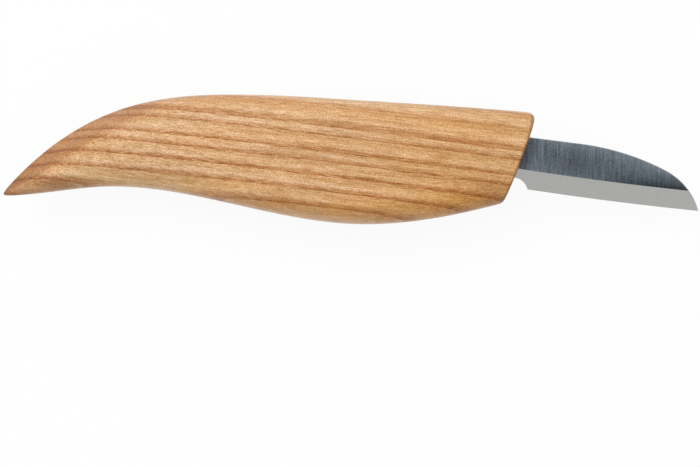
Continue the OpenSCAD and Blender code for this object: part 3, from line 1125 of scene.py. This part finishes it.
# Painted shade next to the wood.
cheek_tone = tinted(cheek_tree, cheek_tone, painted_wood_shade)
for centre, reach, darkest in DARK_PATCHES:
    patch = blot(cheek_tree, steel_place, centre, reach)
    darkness = multiply_add(cheek_tree, patch, darkest - 1, 1)
    cheek_tone = tinted(cheek_tree, cheek_tone, darkness)
cheek_colour = tinted(cheek_tree, cheek_tone, STEEL_COLOUR)
cheek_finish = {
    "Base Color": tinted(cheek_tree, cheek_colour, belt_tone),
    "Roughness": multiply_add(cheek_tree, belt_lines, LINE_ROUGHNESS, GROUND_ROUGHNESS),
    "Normal": bump(cheek_tree, belt_lines, LINE_STRENGTH, LINE_RELIEF),
    "Metallic": 1,
}
fill(cheek_tree, cheek_shader, cheek_finish)
print("cheek finish has", len(cheek_tree.nodes), "nodes")

# %% [markdown]
# ## Honed bevels and filed edges
#
# The bevels were drawn along fine stones until their marks are hardly there, so they get small
# even marks and almost no relief. The spine, the notch and the tang keep the coarser strokes of
# a file. One function makes both finishes, because they differ only in a few values.

# %% Honed steel and filed steel
DARK_AT, LIGHT_AT = 0.3, 0.7
STROKE_STRENGTH = 0.2


def plain_steel(name, size, dark, light, smoothest, roughest, relief):
    """A steel finish with marks of one size: two colours, a range of roughness and a relief."""
    material, tree, shader = new_finish(name)
    strokes = marks(tree, blade_axes(tree), size, seed=9.5, detail=3, roughness=0.55)
    finish = {
        "Base Color": add_ramp(tree, strokes, [(DARK_AT, dark), (LIGHT_AT, light)]),
        "Roughness": multiply_add(tree, strokes, roughest - smoothest, smoothest),
        "Normal": bump(tree, strokes, STROKE_STRENGTH, relief),
        "Metallic": 1,
    }
    fill(tree, shader, finish)
    return material


honed = plain_steel(
    "honed_steel",
    size=(0.25, 0.4, 0.4),
    dark=(0.56, 0.56, 0.545, 1),
    light=(0.66, 0.66, 0.64, 1),
    smoothest=0.26,
    roughest=0.34,
    relief=0.000004,
)
filed = plain_steel(
    "filed_steel",
    size=(0.5, 3, 0.3),
    dark=(0.33, 0.35, 0.37, 1),
    light=(0.52, 0.54, 0.56, 1),
    smoothest=0.3,
    roughest=0.45,
    relief=0.00001,
)
print("steel finishes:", honed.name, filed.name)

# %% Finishes on the faces of the blade
def assign(piece, index, test):
    """Give the faces that pass the test the finish in one of the piece's slots."""
    found = pick("FACE", test)
    piece.active_material_index = index
    bpy.ops.object.material_slot_assign()
    return found


for finish in (filed, cheek, honed):
    blade.data.materials.append(finish)
hands_free()
bpy.context.view_layer.objects.active = blade
bpy.ops.object.mode_set(mode="EDIT")
cheeks = assign(blade, 1, lambda f: abs(f.normal.z) > FLAT)
bevels = assign(blade, 2, lambda f: SQUARE_ON < abs(f.normal.z) < FLAT and f.normal.y < -TILTED)
hands_free()
print("cheek faces:", cheeks, "bevel faces:", bevels)

# %% [markdown]
# ## Hardened glue
#
# A thread of amber glue shows round the tang at the mouth of the mortise. Its solid from the
# frame already has the right shape, so it only gets a finish: clear resin with dust and a few
# small bubbles in it.

# %% Finish of the glue
BUBBLE_SIZE = (0.5, 0.5, 0.5)
RESIN_DARK = seen(120, 82, 40)
RESIN_LIGHT = seen(176, 128, 70)
RESIN_ROUGHNESS = 0.2
BUBBLE_ROUGHNESS = 0.3

resin, resin_tree, resin_shader = new_finish("amber_glue")
resin_place = add(resin_tree, "TexCoord").outputs["Object"]
bubbles = marks(resin_tree, resin_place, BUBBLE_SIZE, seed=6.3, detail=3)
resin_finish = {
    "Base Color": add_ramp(resin_tree, bubbles, [(DARK_AT, RESIN_DARK), (LIGHT_AT, RESIN_LIGHT)]),
    "Roughness": multiply_add(resin_tree, bubbles, BUBBLE_ROUGHNESS, RESIN_ROUGHNESS),
}
fill(resin_tree, resin_shader, resin_finish)
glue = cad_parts["tang_glue"]
glue.data.materials.clear()
glue.data.materials.append(resin)

# %% [markdown]
# ## The table
#
# The knife lies on a white table. White paint in this light would come out grey, so the table is
# lifted to white for the camera and for reflections, and keeps a faint shadow. For all other
# light it stays plain grey paint, so that it doesn't brighten the knife from below. It lies a
# twentieth of a millimetre under the knife, because two faces in one place would flicker.

# %% White table
TABLE_SIZE = 8.0
TABLE_DROP = 0.00005
TABLE_COLOUR = grey(0.5)
TABLE_SEEN = grey(0.97)
TABLE_ROUGHNESS = 0.9
WHITE_SHARE = 0.92

hands_free()
bpy.ops.mesh.primitive_plane_add(size=TABLE_SIZE, location=(0, 0, -TABLE_DROP))
table = bpy.context.object
table.name = "table"
table_paint, table_tree, table_shader = new_finish("white_table")
ray = add(table_tree, "LightPath").outputs
looked_at = calc(table_tree, "MAXIMUM", ray["Is Camera Ray"], ray["Is Glossy Ray"])
looked_at = calc(table_tree, "MAXIMUM", looked_at, ray["Is Transmission Ray"])
paint_finish = {
    "Base Color": mix_colours(table_tree, looked_at, TABLE_COLOUR, TABLE_SEEN),
    "Roughness": TABLE_ROUGHNESS,
    "Specular IOR Level": 0,
}
fill(table_tree, table_shader, paint_finish)
lifted = product(table_tree, looked_at, WHITE_SHARE)
glow = add(table_tree, "Emission", {"Color": grey(1), "Strength": 1}).outputs["Emission"]
table_mix = add(table_tree, "MixShader", {0: lifted, 1: table_shader.outputs["BSDF"], 2: glow})
fill(table_tree, table_tree.nodes["Material Output"], {"Surface": table_mix.outputs["Shader"]})
table.data.materials.append(table_paint)
print("table at z", table.location.z)

# %% [markdown]
# ## Light tent and lamp
#
# The light is that of a photographer's tent: soft white all round, a little more from the side
# of the back, and a dark opening overhead that the camera looks through. The opening is what
# makes the flat cheeks look dark, while the bevels, which lean away, catch the white. One lamp
# shapes the wood from the upper left. It is kept out of reflections, because honed steel would
# flare to a flat white wherever it mirrors a lamp.

# %% Light tent
TENT = 0.78
TENT_LEAN = (-0.08, 0.2, 0)
OPENING = 0.22
OPENING_RIM = math.radians(19)
OPENING_INSIDE = math.radians(12)

world = bpy.data.worlds.new("light_tent")
bpy.context.scene.world = world
world.use_nodes = True
tent_tree = world.node_tree
direction = add(tent_tree, "TexCoord").outputs["Generated"]
leaning = dot(tent_tree, direction, TENT_LEAN)
tent_strength = multiply_add(tent_tree, leaning, TENT, TENT)
upward = add(tent_tree, "SeparateXYZ", {"Vector": direction}).outputs["Z"]
rim, inside = math.cos(OPENING_RIM), math.cos(OPENING_INSIDE)
opening = smooth_step(tent_tree, upward, rim, inside, low=1, high=OPENING / TENT)
tent_light = {"Color": grey(1), "Strength": product(tent_tree, tent_strength, opening)}
fill(tent_tree, tent_tree.nodes["Background"], tent_light)
print("tent of strength", TENT, "with an opening of", OPENING)

# %% Lamp from the upper left
LAMP_PLACE = Vector((-0.33, 0.36, 0.66))
LAMP_SIZE = 0.4
LAMP_POWER = 2.4

bpy.ops.object.light_add(type="AREA", location=LAMP_PLACE)
lamp = bpy.context.object
lamp.name = "upper_left_lamp"
lamp.data.shape = "SQUARE"
lamp.data.size = LAMP_SIZE
lamp.data.energy = LAMP_POWER
lamp.visible_glossy = False
lamp.rotation_euler = (-LAMP_PLACE).to_track_quat("-Z", "Y").to_euler()
print("lamp stands", round(LAMP_PLACE.length, 3), "m away")

# %% [markdown]
# ## Camera
#
# The camera looks straight down on the knife. A long lens keeps the outline almost free of
# perspective. Its height follows from how wide the view is at the middle of the knife's
# thickness, so the lens can be changed without changing how large the knife looks.

# %% Camera straight above
LENS = 120.0
SENSOR = 36.0
VIEW_WIDTH = 166.3
VIEW_CENTRE = (-0.189, -17.58)

camera_data = bpy.data.cameras.new("camera")
camera_data.lens = LENS
camera_data.sensor_width = SENSOR
camera_data.sensor_fit = "HORIZONTAL"
camera = bpy.data.objects.new("camera", camera_data)
bpy.context.collection.objects.link(camera)
camera_height = VIEW_WIDTH * LENS / SENSOR + DRAWING_TO_FRAME[2]
camera.location = (VIEW_CENTRE[0] * MM, VIEW_CENTRE[1] * MM, camera_height * MM)
bpy.context.scene.camera = camera
bpy.context.scene.view_settings.view_transform = "Standard"
print("camera", round(camera_height, 1), "mm above the table")
